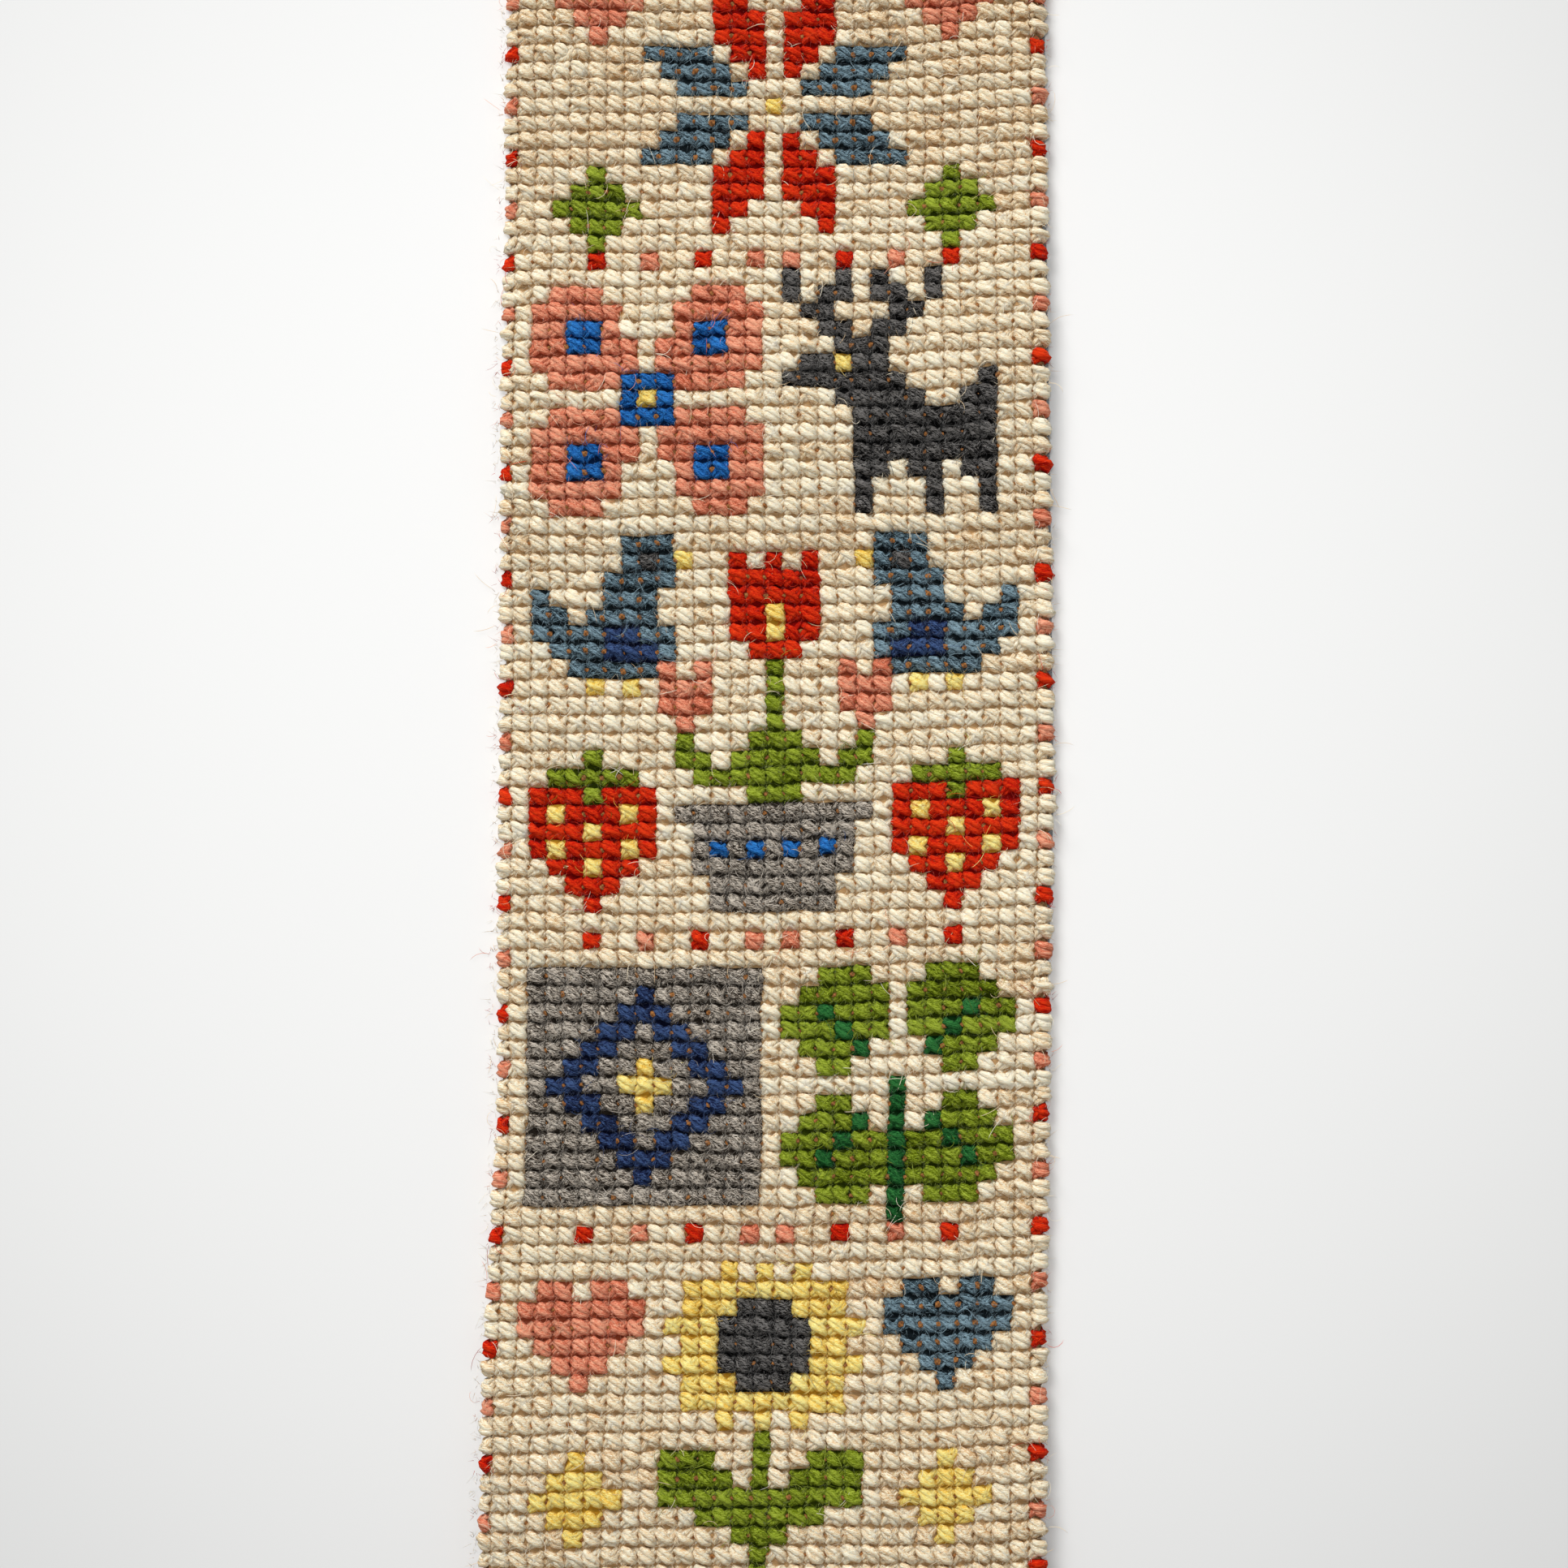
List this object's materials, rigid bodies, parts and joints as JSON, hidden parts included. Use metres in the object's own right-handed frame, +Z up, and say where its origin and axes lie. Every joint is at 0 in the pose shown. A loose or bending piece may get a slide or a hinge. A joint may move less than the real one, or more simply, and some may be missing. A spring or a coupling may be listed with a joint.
{
  "type": "cross-stitch tapestry",
  "caption": "Narrow band of wool cross stitch on canvas, lying face up in shallow waves, with its edges turned under and a plain grey lining behind.",
  "frame": {"origin": "middle of the underside, on the surface that the hanging rests on", "axes": "+Y along the length towards the upper end of the design, +X across the width to the viewer's right, +Z up out of the embroidered face"},
  "size_m": [0.1134, 0.4337, 0.008],
  "materials": {
    "wool_cross_stitch": "plump matte wool yarn in many colours on a cream ground",
    "lining_cloth": "plain woven grey cotton, matte"
  },
  "bodies": {
    "root": {"embroidered_band": "wool_cross_stitch", "lining": "lining_cloth"}
  },
  "joints": []
}
